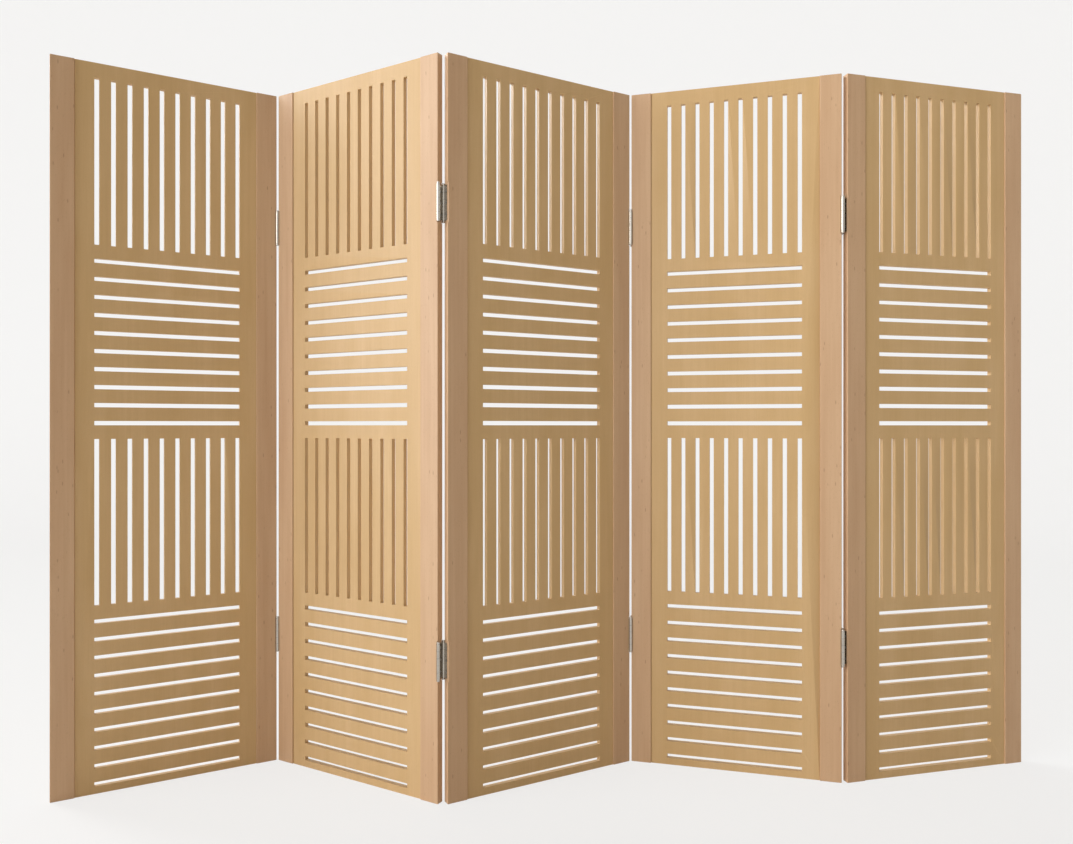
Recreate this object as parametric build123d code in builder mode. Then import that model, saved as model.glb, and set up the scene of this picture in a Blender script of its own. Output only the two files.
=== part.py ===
from build123d import *
import os
from math import cos, radians, sin

# A five-panel folding screen in millimetres, +Z up. The front faces look along -Y and X runs across.
# It stands on z = 0 in the zigzag of its rest pose, centred on the origin.

os.makedirs("parts", exist_ok=True)

# A panel is a slotted board, tongued into an upright stile at each side.
panel_height = 1700
stile_width = 50
stile_thickness = 18
board_width = 406  # seen between the stiles
board_thickness = 12
tongue_thickness = 6
tongue_depth = 9.5
tongue_clearance = 0.5  # left free past the end of a tongue
edge_easing = 1.5
end_chamfer = 1

# The slots lie in blocks, one above the other, with upright and level slots by turns.
block_count = 4
slots_per_block = 10
slot_width = 10
block_gap = 32
top_margin = 35
bottom_margin = 17
side_margin = 40.5  # from a stile to the nearest slot

# Two hinges join each pair of panels. Each has a leaf let into either panel's end and a link between
# them. The link turns on the first leaf's pin in front of the panels and on the second's behind them,
# so the panels fold both ways.
hinge_from_bottom = 323
hinge_from_top = 338
panel_gap = 4  # between two ends that stand in line
axis_standoff = 1  # from a panel's face out to a pin's axis
barrel_radius = 4.5
barrel_length = 80
knuckle_count = 5  # on one pin, the leaf's and the link's by turns
knuckle_gap = 0.3
leaf_thickness = 1.5
link_thickness = 2
running_gap = 0.3
mortise_clearance = 0.2
pocket_clearance = 0.5
pocket_end_clearance = 1

# A pin turns in its barrel, with a tip at its head and another pressed on its foot.
pin_radius = 2
pin_clearance = 0.05
foot_length = 3  # of the pin, in the lower tip
tip_radius = 4.2
tip_height = 4.2
tip_rounding = 1.6
collar_radius = 3.4
collar_height = 0.8

# Countersunk wood screws hold each leaf.
screws_per_leaf = 3
screw_spacing = 27
screw_radius = 1.5
screw_head_radius = 3
screw_length = 16
screw_point_length = 4
screw_point_radius = 0.3
screw_clearance = 0.1
recess_length = 3.2
recess_width = 0.7
recess_depth = 0.9

# The rest pose: how far each joint is folded on its front pins and on its back pins, in degrees.
first_panel_angle = 30
front_folds = [60, 0, 45, 0]
back_folds = [0, 60, 0, 30]

# What follows from those sizes
panel_width = board_width + 2 * stile_width
block_height = (panel_height - top_margin - bottom_margin - (block_count - 1) * block_gap) / block_count
block_tops = [panel_height - top_margin - i * (block_height + block_gap) for i in range(block_count)]
slot_spread = board_width - 2 * side_margin
upright_pitch = (slot_spread - slot_width) / (slots_per_block - 1)
level_pitch = (block_height - slot_width) / (slots_per_block - 1)
half_gap = panel_gap / 2
axis_reach = stile_thickness / 2 + axis_standoff  # from mid-thickness to a pin's axis
knuckle_length = (barrel_length - (knuckle_count - 1) * knuckle_gap) / knuckle_count
knuckle_bases = [i * (knuckle_length + knuckle_gap) for i in range(knuckle_count)]
leaf_knuckles = knuckle_bases[0::2]
link_knuckles = knuckle_bases[1::2]
hinge_middles = [hinge_from_bottom, panel_height - hinge_from_top]
barrel_bases = [middle - barrel_length / 2 for middle in hinge_middles]
tip_length = collar_height + tip_height
leaf_edge = axis_reach - barrel_radius - running_gap  # of the leaf, on the side away from its pin
leaf_root = axis_reach - barrel_radius / 2  # where the leaf ends inside its knuckles
mortise_width = leaf_edge + mortise_clearance + leaf_root


def across(angle):
    """The way a panel turned by angle runs, from left to right."""
    return Vector(cos(radians(angle)), sin(radians(angle)))


def forward(angle):
    """The way its front face looks."""
    return Vector(sin(radians(angle)), -cos(radians(angle)))


# Each panel and link, from left to right: its middle point in plan and its angle. A panel's point is at
# its left end, a link's is half way between its two axes.
left_end = Vector(0, 0)
angle = first_panel_angle
panels = [(left_end, angle)]
links = []
axes = []
for front_fold, back_fold in zip(front_folds, back_folds):
    right_end = left_end + across(angle) * panel_width
    front_axis = right_end + across(angle) * half_gap + forward(angle) * axis_reach
    angle = angle - front_fold
    links.append((front_axis - forward(angle) * axis_reach, angle))
    back_axis = front_axis - forward(angle) * (2 * axis_reach)
    angle = angle + back_fold
    left_end = back_axis + across(angle) * half_gap + forward(angle) * axis_reach
    panels.append((left_end, angle))
    axes += [front_axis, back_axis]

# The plan of the whole screen, whose middle becomes the origin
with BuildSketch() as plan:
    for left_end, angle in panels:
        with Locations(Location(left_end, (0, 0, angle))):
            RectangleRounded(panel_width, stile_thickness, edge_easing, align=(Align.MIN, Align.CENTER))
    with Locations(*axes):
        Circle(barrel_radius)
middle = plan.sketch.bounding_box().center()


def left_plane(number):
    """At the left end of a panel, mid-thickness, on the floor, with x pointing into the panel."""
    end, angle = panels[number]
    return Plane(origin=end - middle, x_dir=across(angle), z_dir=(0, 0, 1))


def right_plane(number):
    """The same at its right end, where x points into the panel too, so y looks to the front."""
    end, angle = panels[number]
    return Plane(origin=end + across(angle) * panel_width - middle, x_dir=-across(angle), z_dir=(0, 0, 1))


def link_plane(number):
    """At the middle of a link, with x across and y to the back."""
    centre, angle = links[number]
    return Plane(origin=centre - middle, x_dir=across(angle), z_dir=(0, 0, 1))


def levels(plane, heights):
    """The plane raised to each height above the foot of each barrel."""
    return [plane.offset(base + height) for base in barrel_bases for height in heights]


def screw_planes(end):
    """One plane on a panel's end for each screw, looking out of the end."""
    middles = [(i - (screws_per_leaf - 1) / 2) * screw_spacing for i in range(screws_per_leaf)]
    return [
        Plane(origin=end.origin + Vector(0, 0, hinge + z), x_dir=end.y_dir, z_dir=-end.x_dir)
        for hinge in hinge_middles
        for z in middles
    ]


def make_board(end):
    """A flat board with a tongue along each upright edge, cut through by the blocks of slots."""
    face_origin = end.from_local_coords(Vector(panel_width / 2, -board_thickness / 2, 0))
    face = Plane(origin=face_origin, x_dir=end.x_dir, z_dir=-end.y_dir)
    with BuildPart() as board:
        with BuildSketch(end):
            with Locations((panel_width / 2, 0)):
                Rectangle(board_width, board_thickness)
                Rectangle(board_width + 2 * tongue_depth, tongue_thickness)
        extrude(amount=panel_height)
        with BuildSketch(face):
            for block, block_top in enumerate(block_tops):
                with Locations((0, block_top - block_height / 2)):
                    if block % 2 == 0:
                        with GridLocations(upright_pitch, 0, slots_per_block, 1):
                            Rectangle(slot_width, block_height)
                    else:
                        with GridLocations(0, level_pitch, 1, slots_per_block):
                            Rectangle(slot_spread, slot_width)
        extrude(amount=-board_thickness, mode=Mode.SUBTRACT)
    return board


def make_stile(end, hinged):
    """An upright with eased edges and a groove for the tongue, let in for the leaves where it is hinged."""
    with BuildPart() as stile:
        with BuildSketch(end) as outline:
            Rectangle(stile_width, stile_thickness, align=(Align.MIN, Align.CENTER))
            fillet(outline.vertices(), edge_easing)
        extrude(amount=panel_height)
        chamfer(stile.faces().sort_by(Axis.Z)[0].edges(), end_chamfer)
        chamfer(stile.faces().sort_by(Axis.Z)[-1].edges(), end_chamfer)
        with BuildSketch(end):
            with Locations((stile_width, 0)):
                Rectangle(tongue_depth + tongue_clearance, tongue_thickness, align=(Align.MAX, Align.CENTER))
        extrude(amount=panel_height, mode=Mode.SUBTRACT)
        if hinged:
            with BuildSketch(*levels(end, [-mortise_clearance])):
                with Locations((0, -leaf_edge - mortise_clearance)):
                    Rectangle(leaf_thickness, mortise_width, align=(Align.MIN, Align.MIN))
            extrude(amount=barrel_length + 2 * mortise_clearance, mode=Mode.SUBTRACT)
            with BuildSketch(*levels(end, [-tip_length - pocket_end_clearance])):
                with Locations((-half_gap, axis_reach), (-half_gap, -axis_reach)):
                    Circle(barrel_radius + pocket_clearance)
            extrude(amount=barrel_length + 2 * (tip_length + pocket_end_clearance), mode=Mode.SUBTRACT)
            with Locations(*screw_planes(end)):
                Hole(screw_radius + pin_clearance, screw_length)
    return stile


def make_leaves(end):
    """The leaves on one panel's end: a plate with knuckles on the y side, bored and countersunk."""
    with BuildPart() as leaves:
        with BuildSketch(*levels(end, [0])):
            with Locations((0, -leaf_edge)):
                Rectangle(leaf_thickness, leaf_edge + leaf_root, align=(Align.MIN, Align.MIN))
        extrude(amount=barrel_length)
        with BuildSketch(*levels(end, [base - knuckle_gap for base in link_knuckles])):
            with Locations((-half_gap, axis_reach)):
                Circle(barrel_radius + running_gap)
        extrude(amount=knuckle_length + 2 * knuckle_gap, mode=Mode.SUBTRACT)
        with BuildSketch(*levels(end, leaf_knuckles)):
            with Locations((-half_gap, axis_reach)):
                Circle(barrel_radius)
        extrude(amount=knuckle_length)
        with BuildSketch(*levels(end, [0])):
            with Locations((-half_gap, axis_reach)):
                Circle(pin_radius + pin_clearance)
        extrude(amount=barrel_length, mode=Mode.SUBTRACT)
        with Locations(*screw_planes(end)):
            CounterSinkHole(
                screw_radius + screw_clearance, screw_head_radius + screw_clearance, counter_sink_angle=90
            )
    return leaves


def make_screws(end):
    """Countersunk screws with a point and a cross recess, through the leaves into the stile."""
    with BuildPart() as screws:
        with Locations(*screw_planes(end)):
            Cone(
                screw_radius,
                screw_head_radius,
                screw_head_radius - screw_radius,
                align=(Align.CENTER, Align.CENTER, Align.MAX),
            )
        with BuildSketch(*screw_planes(end)):
            Circle(screw_radius)
        extrude(amount=screw_point_length - screw_length)
        with Locations(*[plane.offset(screw_point_length - screw_length) for plane in screw_planes(end)]):
            Cone(
                screw_point_radius,
                screw_radius,
                screw_point_length,
                align=(Align.CENTER, Align.CENTER, Align.MAX),
            )
        with BuildSketch(*screw_planes(end)):
            Rectangle(recess_length, recess_width)
            Rectangle(recess_width, recess_length)
        extrude(amount=-recess_depth, mode=Mode.SUBTRACT)
    return screws


def make_links(link):
    """A plate between the panels' ends with knuckles for both pins, cut back beside the leaves' knuckles."""
    both_axes = [(0, axis_reach), (0, -axis_reach)]
    with BuildPart() as linkage:
        with BuildSketch(*levels(link, [0])):
            Rectangle(link_thickness, 2 * axis_reach)
        extrude(amount=barrel_length)
        with BuildSketch(*levels(link, [0])):
            with Locations(*both_axes):
                Circle(barrel_radius + running_gap)
        extrude(amount=barrel_length, mode=Mode.SUBTRACT)
        with BuildSketch(*levels(link, link_knuckles)):
            Rectangle(link_thickness, 2 * axis_reach)
            with Locations(*both_axes):
                Circle(barrel_radius)
        extrude(amount=knuckle_length)
        with BuildSketch(*levels(link, [0])):
            with Locations(*both_axes):
                Circle(pin_radius + pin_clearance)
        extrude(amount=barrel_length, mode=Mode.SUBTRACT)
    return linkage


def make_pins(end):
    """The pins of one panel's leaves, each with its head tip, and a foot for the lower tip."""
    with BuildPart() as pins:
        with BuildSketch(*levels(end, [-foot_length])):
            with Locations((-half_gap, axis_reach)):
                Circle(pin_radius)
        extrude(amount=foot_length + barrel_length)
        with BuildSketch(*levels(end, [barrel_length])):
            with Locations((-half_gap, axis_reach)):
                Circle(collar_radius)
        extrude(amount=collar_height)
        with BuildSketch(*levels(end, [barrel_length + collar_height])):
            with Locations((-half_gap, axis_reach)):
                Circle(tip_radius)
        extrude(amount=tip_height)
        fillet([pin.edges().sort_by(Axis.Z)[-1] for pin in pins.solids()], tip_rounding)
    return pins


def make_tips(end):
    """The lower tips, each a turned cap with a blind socket for the pin's foot."""
    with BuildPart() as tips:
        with BuildSketch(*levels(end, [-collar_height])):
            with Locations((-half_gap, axis_reach)):
                Circle(collar_radius)
        extrude(amount=collar_height)
        with BuildSketch(*levels(end, [-tip_length])):
            with Locations((-half_gap, axis_reach)):
                Circle(tip_radius)
        extrude(amount=tip_height)
        fillet([tip.edges().sort_by(Axis.Z)[0] for tip in tips.solids()], tip_rounding)
        with BuildSketch(*levels(end, [-foot_length - pin_clearance])):
            with Locations((-half_gap, axis_reach)):
                Circle(pin_radius + pin_clearance)
        extrude(amount=foot_length + pin_clearance, mode=Mode.SUBTRACT)
    return tips


def save(piece, name):
    piece.part.label = name
    export_step(piece.part, f"parts/{name}.step")


last_panel = len(panels) - 1
for number in range(len(panels)):
    name = number + 1
    save(make_board(left_plane(number)), f"board_{name}")
    save(make_stile(left_plane(number), hinged=number > 0), f"left_stile_{name}")
    save(make_stile(right_plane(number), hinged=number < last_panel), f"right_stile_{name}")

for number in range(last_panel):
    joint = f"hinge_{number + 1}{number + 2}"
    save(make_links(link_plane(number)), f"{joint}_links")
    for side, end in (("front", right_plane(number)), ("back", left_plane(number + 1))):
        save(make_leaves(end), f"{joint}_{side}_leaves")
        save(make_screws(end), f"{joint}_{side}_screws")
        save(make_pins(end), f"{joint}_{side}_pins")
        save(make_tips(end), f"{joint}_{side}_tips")

# Where each joint turns and how the panels lie, for the draft record
for number in range(last_panel):
    front_axis, back_axis = (axis - middle for axis in axes[2 * number : 2 * number + 2])
    print(f"joint {number + 1}{number + 2}: front axis {front_axis.X:.4f}, {front_axis.Y:.4f}", end="")
    print(f"; back axis {back_axis.X:.4f}, {back_axis.Y:.4f}")
for number, (end, angle) in enumerate(panels):
    corner = end - middle
    print(f"panel {number + 1}: left end {corner.X:.4f}, {corner.Y:.4f}, angle {angle}")
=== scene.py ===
from math import cos, pi, radians, sin

import bpy
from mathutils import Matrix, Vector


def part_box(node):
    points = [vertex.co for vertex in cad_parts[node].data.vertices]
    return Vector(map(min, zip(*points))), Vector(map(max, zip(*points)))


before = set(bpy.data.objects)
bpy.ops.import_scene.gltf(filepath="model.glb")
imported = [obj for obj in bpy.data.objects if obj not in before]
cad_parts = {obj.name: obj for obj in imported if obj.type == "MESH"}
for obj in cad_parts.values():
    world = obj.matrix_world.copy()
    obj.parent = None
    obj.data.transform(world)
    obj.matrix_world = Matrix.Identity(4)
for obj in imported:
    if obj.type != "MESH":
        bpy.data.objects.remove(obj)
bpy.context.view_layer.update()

# Boards
# Each panel's board is a 12 mm core faced with beech veneer. Its slots are routed right through, so their
# walls show the paler core. The veneer's grain is straight and even, and satin lacquer lies over it.
panel_angles = {1: 30, 2: -30, 3: 30, 4: -15, 5: 15}
board_tan = "#CDAA77"
board_straw = "#D3B181"
board_shade = "#BF9A67"
board_pore = "#A98654"
core_pale = "#E2C79C"
veneer_depth = 0.0052  # half the core's thickness, inside the sanded edge
arris = 0.0005  # the slots' edges are sanded by half a millimetre
arris_steps = 2
arris_angle = 40  # an edge that turns further than this is sanded
weld_distance = 0.00001
wood_gloss = (0.48, 0.54)  # roughness of the lacquered wood, from its open parts to its grain lines
lacquer_amount = 0.12
lacquer_roughness = 0.36
lacquer_dip = 0.0001  # how far the lacquer sinks into the wood's pores
lacquer_dip_strength = 0.15


def linear(colour):
    """The linear value of a colour that is written in sRGB hex, by the standard curve."""
    channels = [int(colour[i : i + 2], 16) / 255 for i in (1, 3, 5)]
    return [c / 12.92 if c <= 0.04045 else ((c + 0.055) / 1.055) ** 2.4 for c in channels] + [1]


def add(tree, kind, inputs, **settings):
    """Adds a node to a tree. An input is given by its name or place, as a value or as another socket."""
    made = tree.nodes.new(kind)
    for name, value in settings.items():
        setattr(made, name, value)
    for key, value in inputs.items():
        if isinstance(value, bpy.types.NodeSocket):
            tree.links.new(value, made.inputs[key])
        else:
            made.inputs[key].default_value = value
    return made


def start_material(name):
    """A new material's node tree, with its shader, and the place on the object in metres."""
    material = bpy.data.materials.new(name)
    material.use_nodes = True
    tree = material.node_tree
    tree.nodes.clear()
    shader = add(tree, "ShaderNodeBsdfPrincipled", {})
    add(tree, "ShaderNodeOutputMaterial", {"Surface": shader.outputs["BSDF"]})
    place = add(tree, "ShaderNodeTexCoord", {}).outputs["Object"]
    return material, tree, shader, place


def stretch(tree, place, across, along):
    """The place counted in widths across the grain and lengths along it, both given in millimetres."""
    size = (1000 / across, 1000 / across, 1000 / along)
    return add(tree, "ShaderNodeMapping", {"Vector": place, "Scale": size}).outputs[0]


def streaks(tree, place, across, along, detail, low, high):
    """Noise drawn out along the grain, from 0 below low to 1 above high."""
    stretched = stretch(tree, place, across, along)
    noise = add(tree, "ShaderNodeTexNoise", {"Vector": stretched, "Scale": 1, "Detail": detail})
    spread = {"Value": noise.outputs["Fac"], "From Min": low, "From Max": high}
    return add(tree, "ShaderNodeMapRange", spread).outputs["Result"]


def blend(tree, share, first, second):
    """Mixes two colours, each given as hex or as a socket."""
    pair = [linear(c) if isinstance(c, str) else c for c in (first, second)]
    mixed = {"Factor": share, 6: pair[0], 7: pair[1]}  # sockets 6 and 7 take colours
    return add(tree, "ShaderNodeMix", mixed, data_type="RGBA").outputs[2]


def part_of(tree, share, amount):
    """A share that is scaled down to an amount."""
    return add(tree, "ShaderNodeMath", {0: share, 1: amount}, operation="MULTIPLY").outputs[0]


def set_roughness(tree, shader, share, smooth, rough):
    """Makes a surface as rough as a share says, from smooth to rough."""
    spread = {"Value": share, "To Min": smooth, "To Max": rough}
    roughness = add(tree, "ShaderNodeMapRange", spread).outputs["Result"]
    tree.links.new(roughness, shader.inputs["Roughness"])


def set_relief(tree, shader, height, depth, strength, invert=False):
    """Gives a surface a relief, in metres."""
    relief = {"Height": height, "Strength": strength, "Distance": depth}
    bump = add(tree, "ShaderNodeBump", relief, invert=invert)
    tree.links.new(bump.outputs["Normal"], shader.inputs["Normal"])


def satin_lacquer(tree, shader, grain, pores):
    """Rolled satin lacquer: a soft sheen, duller along the grain lines, that sinks into the pores."""
    set_roughness(tree, shader, grain, *wood_gloss)
    shader.inputs["Coat Weight"].default_value = lacquer_amount
    shader.inputs["Coat Roughness"].default_value = lacquer_roughness
    set_relief(tree, shader, pores, lacquer_dip, lacquer_dip_strength, invert=True)


def finish_node(node, material):
    """Gives a CAD piece its material."""
    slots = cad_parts[node].data.materials
    slots.clear()
    slots.append(material)


def ease_edges(node, width):
    """Sands a piece's sharp edges."""
    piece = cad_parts[node]
    weld = piece.modifiers.new("join_faces", "WELD")
    weld.merge_threshold = weld_distance
    bevel = piece.modifiers.new("sanded_edges", "BEVEL")
    bevel.width = width
    bevel.segments = arris_steps
    bevel.limit_method = "ANGLE"
    bevel.angle_limit = radians(arris_angle)
    bevel.harden_normals = True


def core_share(tree, place, node, angle):
    """1 between a board's two veneered faces and 0 on them."""
    low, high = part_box(node)
    middle = [(a + b) / 2 for a, b in zip(low, high)]
    turned = {"Vector": place, "Location": middle, "Rotation": (0, 0, radians(angle))}
    own_place = add(tree, "ShaderNodeMapping", turned, vector_type="TEXTURE").outputs[0]
    depth = add(tree, "ShaderNodeSeparateXYZ", {0: own_place}).outputs["Y"]
    from_middle = add(tree, "ShaderNodeMath", {0: depth}, operation="ABSOLUTE").outputs[0]
    return add(tree, "ShaderNodeMath", {0: from_middle, 1: veneer_depth}, operation="LESS_THAN").outputs[0]


def beech_veneer(node, angle):
    """Sliced beech veneer under satin lacquer: an even tan with faint clouds, straight grain and pores."""
    material, tree, shader, place = start_material(f"beech_veneer_satin_lacquer_{node}")
    clouds = streaks(tree, place, across=70, along=300, detail=2, low=0.35, high=0.65)
    bands = streaks(tree, place, across=11, along=500, detail=3, low=0.35, high=0.7)
    grain = streaks(tree, place, across=1.6, along=90, detail=3, low=0.4, high=0.72)
    # A real pore is 0.1 mm wide and wouldn't show, so these are drawn coarser.
    pores = streaks(tree, place, across=0.5, along=7, detail=1, low=0.62, high=0.78)
    colour = blend(tree, clouds, board_tan, board_straw)
    colour = blend(tree, part_of(tree, bands, amount=0.2), colour, board_shade)
    colour = blend(tree, part_of(tree, grain, amount=0.18), colour, board_shade)
    colour = blend(tree, part_of(tree, pores, amount=0.3), colour, board_pore)
    inside = core_share(tree, place, node, angle)
    colour = blend(tree, part_of(tree, inside, amount=0.5), colour, core_pale)
    tree.links.new(colour, shader.inputs["Base Color"])
    satin_lacquer(tree, shader, grain, pores)
    return material


for number, angle in panel_angles.items():
    board = f"board_{number}"
    finish_node(board, beech_veneer(board, angle))
    ease_edges(board, arris)

# Stiles
# The uprights are planed from solid beech, pinker than the veneer, with eased edges and chamfered ends.
# Steamed beech shows small dark ray flecks along its grain, and the same satin lacquer lies over it.
stile_pink = "#CAA581"
stile_light = "#D1AE8A"
stile_shade = "#B98F6A"
stile_fleck = "#8F6649"
stile_end = "#A97F5B"  # end grain drinks more lacquer and turns darker
stile_middle = 0.85
stile_reach = 0.8494  # from the middle to just inside the sawn ends
fleck_core = 0.5  # the share of a fleck's radius that is at its darkest


def flecks(tree, place, across, along, radius, kept):
    """Spindle-shaped marks, one to a cell of this size in millimetres, in the kept share of the cells."""
    stretched = stretch(tree, place, across, along)
    cells = add(tree, "ShaderNodeTexVoronoi", {"Vector": stretched, "Scale": 1})
    inside = {"Value": cells.outputs["Distance"], "From Min": radius, "From Max": radius * fleck_core}
    mark = add(tree, "ShaderNodeMapRange", inside).outputs["Result"]
    chance = add(tree, "ShaderNodeSeparateColor", {"Color": cells.outputs["Color"]}).outputs["Red"]
    chosen = add(tree, "ShaderNodeMath", {0: chance, 1: kept}, operation="LESS_THAN").outputs[0]
    return part_of(tree, mark, chosen)


def solid_beech():
    """Planed steamed beech under satin lacquer: a pinkish tan, soft growth bands, ray flecks and pores."""
    material, tree, shader, place = start_material("steamed_beech_satin_lacquer")
    clouds = streaks(tree, place, across=40, along=350, detail=2, low=0.35, high=0.65)
    bands = streaks(tree, place, across=7, along=450, detail=2, low=0.4, high=0.7)
    grain = streaks(tree, place, across=1.2, along=60, detail=3, low=0.42, high=0.72)
    large = flecks(tree, place, across=9, along=36, radius=0.17, kept=0.35)
    small = flecks(tree, place, across=2.6, along=9, radius=0.28, kept=0.4)
    colour = blend(tree, clouds, stile_pink, stile_light)
    colour = blend(tree, part_of(tree, bands, amount=0.2), colour, stile_shade)
    colour = blend(tree, part_of(tree, grain, amount=0.13), colour, stile_shade)
    colour = blend(tree, part_of(tree, small, amount=0.18), colour, stile_fleck)
    colour = blend(tree, part_of(tree, large, amount=0.45), colour, stile_fleck)
    height = add(tree, "ShaderNodeSeparateXYZ", {0: place}).outputs["Z"]
    distance = {0: height, 1: stile_middle, 2: stile_reach}
    inside = add(tree, "ShaderNodeMath", distance, operation="COMPARE").outputs[0]
    sawn = add(tree, "ShaderNodeMath", {0: 1, 1: inside}, operation="SUBTRACT").outputs[0]
    colour = blend(tree, part_of(tree, sawn, amount=0.6), colour, stile_end)
    tree.links.new(colour, shader.inputs["Base Color"])
    satin_lacquer(tree, shader, grain, small)
    return material


beech = solid_beech()
for number in panel_angles:
    finish_node(f"left_stile_{number}", beech)
    finish_node(f"right_stile_{number}", beech)

# Hinges
# Each two-way hinge is stamped and rolled from steel, plated with nickel and polished. Its leaves are let
# into the stiles, the link joins both barrels, and each pin has a turned tip at its head and its foot.
joint_names = ("12", "23", "34", "45")
nickel_bright = "#BFB9AF"
nickel_dull = "#B7B0A6"
plating_relief = 0.00002


def polished_nickel():
    """Polished nickel plate: a warm mirror, with the faint wiping marks of handling."""
    material, tree, shader, place = start_material("polished_nickel_plate")
    wiped = streaks(tree, place, across=4, along=30, detail=1, low=0.35, high=0.7)
    tree.links.new(blend(tree, wiped, nickel_bright, nickel_dull), shader.inputs["Base Color"])
    shader.inputs["Metallic"].default_value = 1
    set_roughness(tree, shader, wiped, smooth=0.17, rough=0.21)
    set_relief(tree, shader, wiped, plating_relief, strength=0.05)
    return material


nickel = polished_nickel()
for joint in joint_names:
    finish_node(f"hinge_{joint}_links", nickel)
    for side in ("front", "back"):
        for piece in ("leaves", "pins", "tips"):
            finish_node(f"hinge_{joint}_{side}_{piece}", nickel)

# Screws
# Countersunk steel wood screws, zinc plated, hold the leaves. The plating is greyer and duller than nickel,
# and it is mottled by the bath.
zinc_light = "#BFC1C3"
zinc_dark = "#9DA0A4"


def zinc_plate():
    """Zinc-plated steel: a grey, slightly rough metal."""
    material, tree, shader, place = start_material("zinc_plated_steel")
    mottle = streaks(tree, place, across=0.8, along=0.8, detail=2, low=0.4, high=0.6)
    tree.links.new(blend(tree, mottle, zinc_light, zinc_dark), shader.inputs["Base Color"])
    shader.inputs["Metallic"].default_value = 1
    set_roughness(tree, shader, mottle, smooth=0.3, rough=0.4)
    set_relief(tree, shader, mottle, plating_relief, strength=0.1)
    return material


zinc = zinc_plate()
for joint in joint_names:
    for side in ("front", "back"):
        finish_node(f"hinge_{joint}_{side}_screws", zinc)

# Floor and backdrop
# A pale seamless sheet runs from in front of the screen, over the floor and up behind it. The camera sees it
# nearly white, with the screen's shadow on it.
sheet_front = -6
sheet_back = 4
sheet_half_width = 9
sheet_height = 6
sheet_bend = 1.5
bend_steps = 12
sheet_white = "#F9F9F9"
seen_glow = 0.78  # of what the camera sees of the sheet, its own pale colour
sheet_profile = [(sheet_front, 0)]
for step in range(bend_steps + 1):
    turn = step / bend_steps * pi / 2
    sheet_profile.append((sheet_back + sheet_bend * sin(turn), sheet_bend * (1 - cos(turn))))
sheet_profile.append((sheet_back + sheet_bend, sheet_height))
sheet_points = [(x, y, z) for y, z in sheet_profile for x in (-sheet_half_width, sheet_half_width)]
sheet_faces = [(2 * i, 2 * i + 1, 2 * i + 3, 2 * i + 2) for i in range(len(sheet_profile) - 1)]
sheet_mesh = bpy.data.meshes.new("pale_sheet")
sheet_mesh.from_pydata(sheet_points, [], sheet_faces)
for face in sheet_mesh.polygons:
    face.use_smooth = True
sheet = bpy.data.objects.new("pale_sheet", sheet_mesh)
bpy.context.collection.objects.link(sheet)

paper = bpy.data.materials.new("matt_paper_sheet")
paper.use_nodes = True
tree = paper.node_tree
tree.nodes.clear()
matt = add(tree, "ShaderNodeBsdfDiffuse", {"Color": linear(sheet_white)}).outputs[0]
glow = add(tree, "ShaderNodeEmission", {"Color": linear(sheet_white), "Strength": 1}).outputs[0]


def seen_share(tree):
    """1 for what the camera sees, directly or in metal or glass, and 0 for the light on the screen."""
    rays = add(tree, "ShaderNodeLightPath", {}).outputs
    first_two = {0: rays["Is Camera Ray"], 1: rays["Is Glossy Ray"]}
    either = add(tree, "ShaderNodeMath", first_two, operation="MAXIMUM").outputs[0]
    all_three = {0: either, 1: rays["Is Transmission Ray"]}
    return add(tree, "ShaderNodeMath", all_three, operation="MAXIMUM").outputs[0]


share = part_of(tree, seen_share(tree), seen_glow)
surface = add(tree, "ShaderNodeMixShader", {0: share, 1: matt, 2: glow}).outputs[0]
add(tree, "ShaderNodeOutputMaterial", {"Surface": surface})
sheet_mesh.materials.append(paper)

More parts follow.
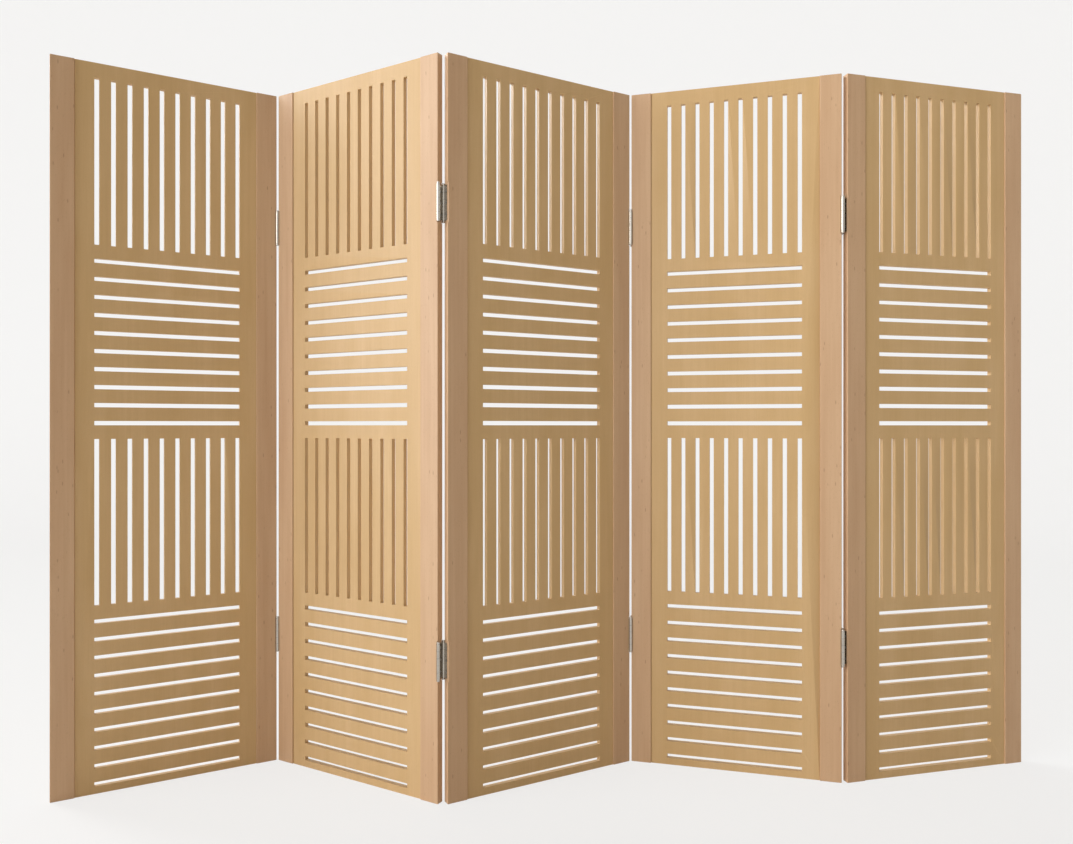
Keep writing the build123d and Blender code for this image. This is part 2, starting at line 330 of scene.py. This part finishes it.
# Light
# Two broad soft lamps stand far off to the left. One is a little in front of the screen, and one is behind
# it and shines through the slots. The pale room fills the rest with even light.
lamps = {
    "front_lamp": {"left_of_front": 62, "height_angle": 12, "strength": 2.55, "softness": 52},
    "back_lamp": {"left_of_front": 122, "height_angle": 30, "strength": 2.5, "softness": 30},
}
lamp_colour = "#FFFFFF"
fill_colour = "#FFF4DF"
fill_strength = 0.335
seen_walls = 0.95  # as pale as the lit sheet, so that its edges don't show
for name, lamp in lamps.items():
    lamp_data = bpy.data.lights.new(name, "SUN")
    lamp_data.energy = lamp["strength"]
    lamp_data.angle = radians(lamp["softness"])
    lamp_data.color = linear(lamp_colour)[:3]
    lamp_object = bpy.data.objects.new(name, lamp_data)
    lamp_object.rotation_euler = (radians(90 - lamp["height_angle"]), 0, radians(-lamp["left_of_front"]))
    bpy.context.collection.objects.link(lamp_object)

world = bpy.data.worlds.new("pale_room")
world.use_nodes = True
bpy.context.scene.world = world
tree = world.node_tree
tree.nodes.clear()
fill = add(tree, "ShaderNodeBackground", {"Color": linear(fill_colour), "Strength": fill_strength}).outputs[0]
walls = add(tree, "ShaderNodeBackground", {"Color": linear(sheet_white), "Strength": seen_walls}).outputs[0]
room = add(tree, "ShaderNodeMixShader", {0: seen_share(tree), 1: fill, 2: walls}).outputs[0]
add(tree, "ShaderNodeOutputWorld", {"Surface": room})

# Camera
# It stands 2 m in front of the screen at half its height and looks level, as the photograph was taken.
# Lengths on the picture are in its pixels.
photo_width = 1073
photo_height = 844
focal_length = 848.6
centre_column = 530.7
centre_row = 426.1
sensor_width = 36
camera_place = (-0.0580, -2.0504, 0.8550)
camera_turn = 0.46
camera_data = bpy.data.cameras.new("camera")
camera_data.sensor_width = sensor_width
camera_data.lens = sensor_width * focal_length / photo_width
camera_data.shift_x = (photo_width / 2 - centre_column) / photo_width
camera_data.shift_y = (centre_row - photo_height / 2) / photo_width
camera = bpy.data.objects.new("camera", camera_data)
camera.location = camera_place
camera.rotation_euler = (radians(90), 0, radians(camera_turn))
bpy.context.collection.objects.link(camera)
bpy.context.scene.camera = camera
bpy.context.scene.view_settings.view_transform = "Standard"
